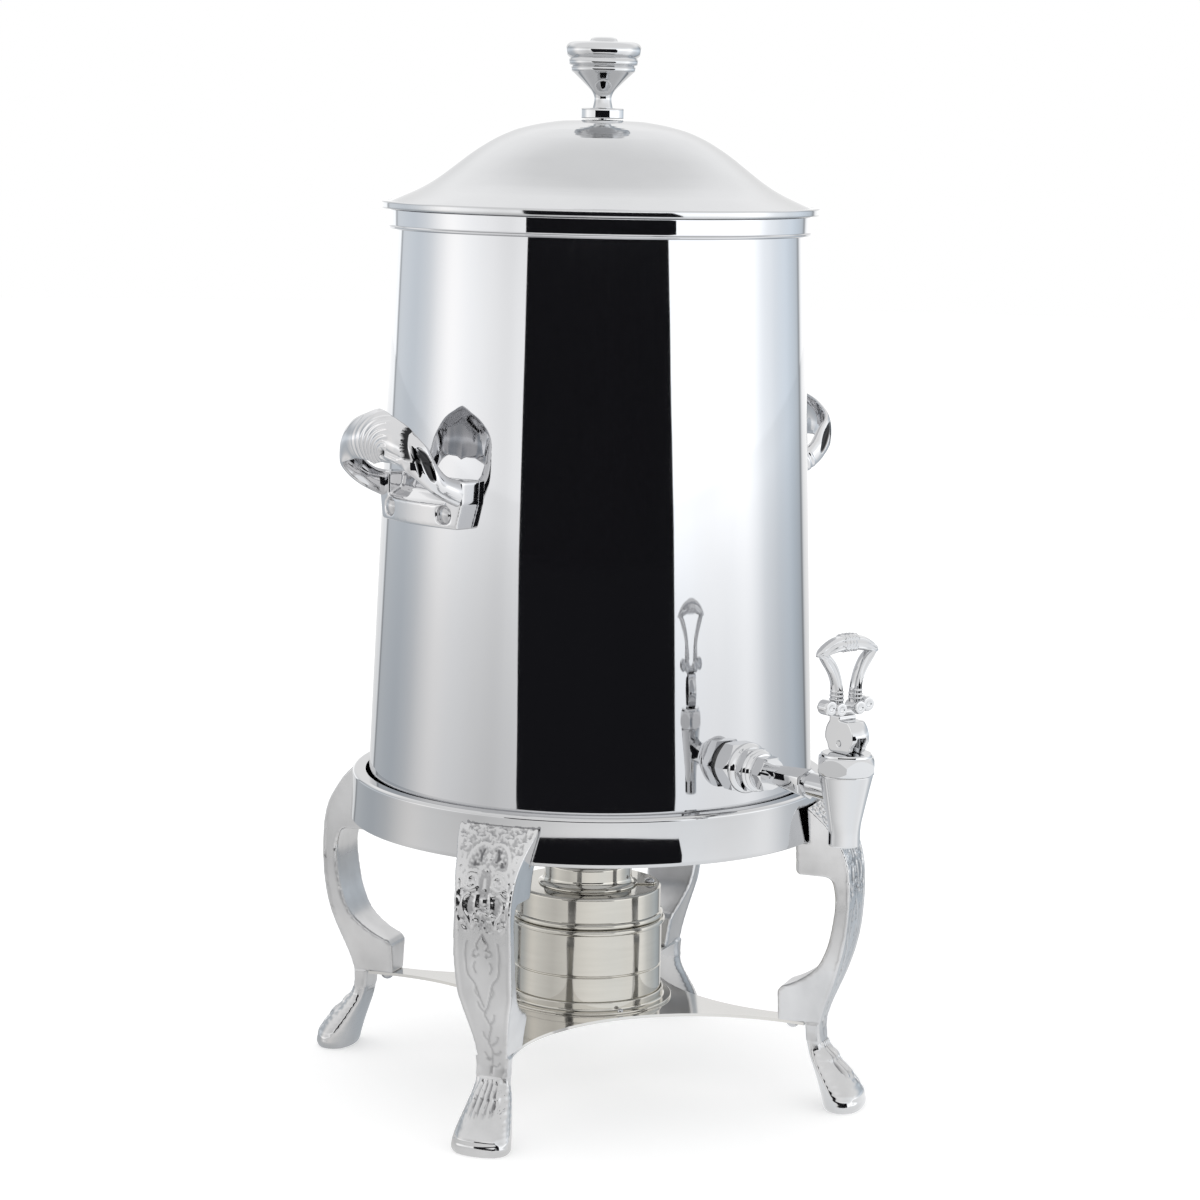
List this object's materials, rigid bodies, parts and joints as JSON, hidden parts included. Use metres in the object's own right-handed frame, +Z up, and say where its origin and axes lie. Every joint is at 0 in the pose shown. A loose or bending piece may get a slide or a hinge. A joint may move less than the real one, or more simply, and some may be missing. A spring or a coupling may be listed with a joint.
{
  "type": "coffee urn",
  "caption": "Fuel-heated coffee urn: polished steel vessel with a domed lid, two handles and a lever tap, in a four-legged cast stand over a burner.",
  "frame": {"origin": "on the axis of the stand's ring, at the plane the feet stand on", "axes": "+Z up along the vessel's axis; -Y towards the tap; +X and -X through the two handles"},
  "size_m": [0.376, 0.4447, 0.686],
  "materials": {
    "polished_steel": "mirror",
    "cast_metal": "polished",
    "tap_chrome": "mirror",
    "burner_steel": "polished",
    "fasteners": "satin",
    "gasket": "matte"
  },
  "bodies": {
    "stand": {"stand_ring": "cast_metal", "leg_1": "cast_metal", "leg_2": "cast_metal", "leg_3": "cast_metal", "leg_4": "cast_metal", "leg_screws": "fasteners", "shelf_plate": "polished_steel", "shelf_screws": "fasteners", "burner_seat": "burner_steel", "seat_screws": "fasteners"},
    "burner": {"burner_cup": "burner_steel"},
    "cover": {"burner_cover": "burner_steel", "snuffer_rivet": "fasteners"},
    "snuffer": {"snuffer_cap": "burner_steel"},
    "urn": {"vessel_shell": "polished_steel", "rim_collar": "polished_steel", "handle_base_left": "cast_metal", "handle_base_right": "cast_metal", "handle_grip_left": "cast_metal", "handle_grip_right": "cast_metal", "handle_screws": "fasteners", "tap_gaskets": "gasket", "tap_locknut": "tap_chrome", "tap_shank": "tap_chrome", "collar_nut": "tap_chrome", "coupling_nut": "tap_chrome", "tap_body": "tap_chrome", "tap_bonnet": "tap_chrome", "tap_spring": "fasteners"},
    "valve": {"valve_stem": "tap_chrome", "seat_cup": "gasket", "lever_pin": "fasteners"},
    "lever": {"lever_hub": "tap_chrome", "tap_lever": "tap_chrome"},
    "lid": {"lid_shell": "polished_steel", "lid_locator": "polished_steel", "knob_washer": "tap_chrome", "knob": "tap_chrome", "knob_screw": "fasteners"}
  },
  "joints": [
    {"name": "urn_lift", "type": "slide", "parent": "stand", "child": "urn", "axis": [0, 0, 1], "range_m": [0, 0.12]},
    {"name": "lid_lift", "type": "slide", "parent": "urn", "child": "lid", "axis": [0, 0, 1], "range_m": [0, 0.15]},
    {"name": "burner_lift", "type": "slide", "parent": "stand", "child": "burner", "axis": [0, 0, 1], "range_m": [0, 0.012]},
    {"name": "cover_lift", "type": "slide", "parent": "burner", "child": "cover", "axis": [0, 0, 1], "range_m": [0, 0.018]},
    {"name": "snuffer_swing", "type": "hinge", "parent": "cover", "child": "snuffer", "pos_m": [0.03231, -0.02524, 0.132], "axis": [0, 0, 1], "range_deg": [0, 110]},
    {"name": "valve_lift", "type": "slide", "parent": "urn", "child": "valve", "axis": [0, 0, 1], "range_m": [0, 0.0036], "deforming": ["tap_spring"]},
    {"name": "tap_tilt", "type": "hinge", "parent": "valve", "child": "lever", "pos_m": [0, -0.25182, 0.268], "axis": [1, 0, 0], "range_deg": [0, 35], "stiffness_Nm_per_rad": 0.3, "springref_deg": -17.19}
  ],
  "couplings": [
    {"joint": "valve_lift", "follows": "tap_tilt", "m_per_rad": 0.0055}
  ]
}
